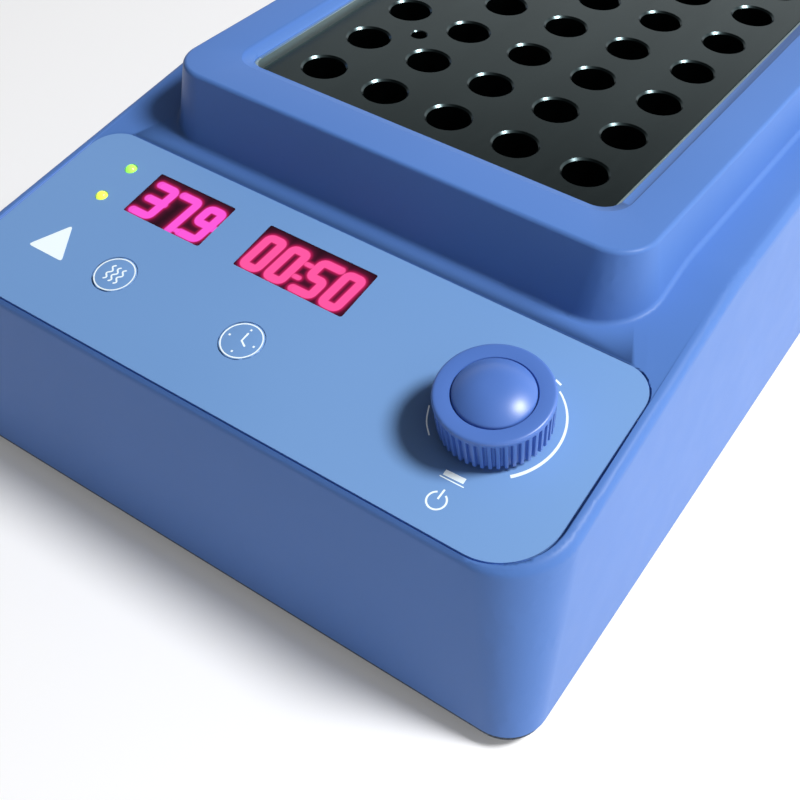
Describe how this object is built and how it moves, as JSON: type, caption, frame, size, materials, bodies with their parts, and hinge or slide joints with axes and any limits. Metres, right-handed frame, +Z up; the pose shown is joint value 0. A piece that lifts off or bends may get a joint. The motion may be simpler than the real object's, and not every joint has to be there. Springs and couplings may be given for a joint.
{
  "type": "dry block heater",
  "caption": "Bench-top dry block heater with a sloping control panel, a push-and-turn knob and a lift-out block for sample tubes.",
  "frame": {"origin": "middle of the footprint on the bench, under the rubber feet", "axes": "+Z up, front of the heater faces -Y, +X to the right seen from the front"},
  "size_m": [0.1744, 0.29, 0.085],
  "materials": {
    "housing_blue": "smooth moulded, semi-matt",
    "panel_blue": "printed polycarbonate sheet, satin",
    "key_blue": "satin",
    "knob_blue": "semi-gloss",
    "cap_blue": "gloss",
    "window_filter": "dark red filter, gloss",
    "display_potting": "potted resin",
    "lamp_green": "clear coloured resin",
    "lamp_yellow": "clear coloured resin",
    "tray_grey": "fine texture",
    "foot_rubber": "matt",
    "screw_steel": "zinc plated",
    "block_anodised": "dark grey anodised, satin",
    "liner_aluminium": "bright folded sheet",
    "plain_aluminium": "milled or extruded",
    "heater_silicone": "matt silicone sheet",
    "insulation_foam": "soft mineral board",
    "circuit_board": "solder-resist gloss",
    "black_plastic": "moulded, satin",
    "brass": "machined",
    "sensor_steel": "bright tube",
    "transformer_steel": "varnished laminations",
    "capacitor_sleeve": "shrink sleeve",
    "terminal_green": "moulded",
    "lead_insulation": "soft wire insulation",
    "ribbon_grey": "flat cable",
    "fuse_glass": "clear tube with metal caps"
  },
  "bodies": {
    "housing": {"base_tray": "tray_grey", "block_well": "liner_aluminium", "display_board": "circuit_board", "display_board_screws": "screw_steel", "encoder_body": "black_plastic", "encoder_bush": "brass", "encoder_nut": "screw_steel", "encoder_washer": "screw_steel", "foot_front_left": "foot_rubber", "foot_front_right": "foot_rubber", "foot_rear_left": "foot_rubber", "foot_rear_right": "foot_rubber", "foot_screws": "screw_steel", "heat_indicator": "lamp_green", "heat_switch_body": "black_plastic", "heater_film": "heater_silicone", "heater_leads": "lead_insulation", "heater_plate": "plain_aluminium", "housing_screws": "screw_steel", "indicator_spacers": "black_plastic", "inlet_body": "black_plastic", "inlet_pins": "brass", "inlet_screws": "screw_steel", "insulation_jacket": "insulation_foam", "insulation_pad": "insulation_foam", "mains_leads": "lead_insulation", "panel_overlay": "panel_blue", "pillar_screws": "screw_steel", "power_board": "circuit_board", "power_board_screws": "screw_steel", "ribbon_cable": "ribbon_grey", "ribbon_connectors": "black_plastic", "smoothing_capacitor": "capacitor_sleeve", "support_pillars": "plain_aluminium", "temperature_display": "display_potting", "temperature_sensor": "sensor_steel", "temperature_window": "window_filter", "terminal_block": "terminal_green", "thermal_cutout": "sensor_steel", "timer_display": "display_potting", "timer_indicator": "lamp_yellow", "timer_switch_body": "black_plastic", "timer_window": "window_filter", "transformer": "transformer_steel", "triac": "black_plastic", "triac_heat_sink": "plain_aluminium", "upper_housing": "housing_blue", "well_screws": "screw_steel"},
    "tube_block": {"heat_block": "block_anodised"},
    "heat_button": {"heat_key": "key_blue", "heat_switch_plunger": "black_plastic"},
    "timer_button": {"timer_key": "key_blue", "timer_switch_plunger": "black_plastic"},
    "knob_plunger": {"push_plunger": "black_plastic"},
    "knob": {"knob_shaft": "screw_steel", "knob_grip": "knob_blue", "knob_cap": "cap_blue"},
    "fuse_carrier": {"fuse_drawer": "black_plastic", "fuses": "fuse_glass"}
  },
  "joints": [
    {"name": "knob_press", "type": "slide", "parent": "housing", "child": "knob_plunger", "axis": [0, 0.1867, -0.9824], "range_m": [0, 0.0008], "stiffness_N_per_m": 900, "springref_m": -0.001},
    {"name": "knob_turn", "type": "hinge", "parent": "knob_plunger", "child": "knob", "pos_m": [0.0554, -0.11248, 0.06068], "axis": [0, -0.1867, 0.9824], "continuous": true},
    {"name": "heat_key_press", "type": "slide", "parent": "housing", "child": "heat_button", "axis": [0, 0.1867, -0.9824], "range_m": [0, 0.0004], "stiffness_N_per_m": 2500, "springref_m": -0.0004},
    {"name": "timer_key_press", "type": "slide", "parent": "housing", "child": "timer_button", "axis": [0, 0.1867, -0.9824], "range_m": [0, 0.0004], "stiffness_N_per_m": 2500, "springref_m": -0.0004},
    {"name": "block_lift", "type": "slide", "parent": "housing", "child": "tube_block", "axis": [0, 0, 1], "range_m": [0, 0.06]},
    {"name": "fuse_drawer_slide", "type": "slide", "parent": "housing", "child": "fuse_carrier", "axis": [0, 1, 0], "range_m": [0, 0.024]}
  ]
}
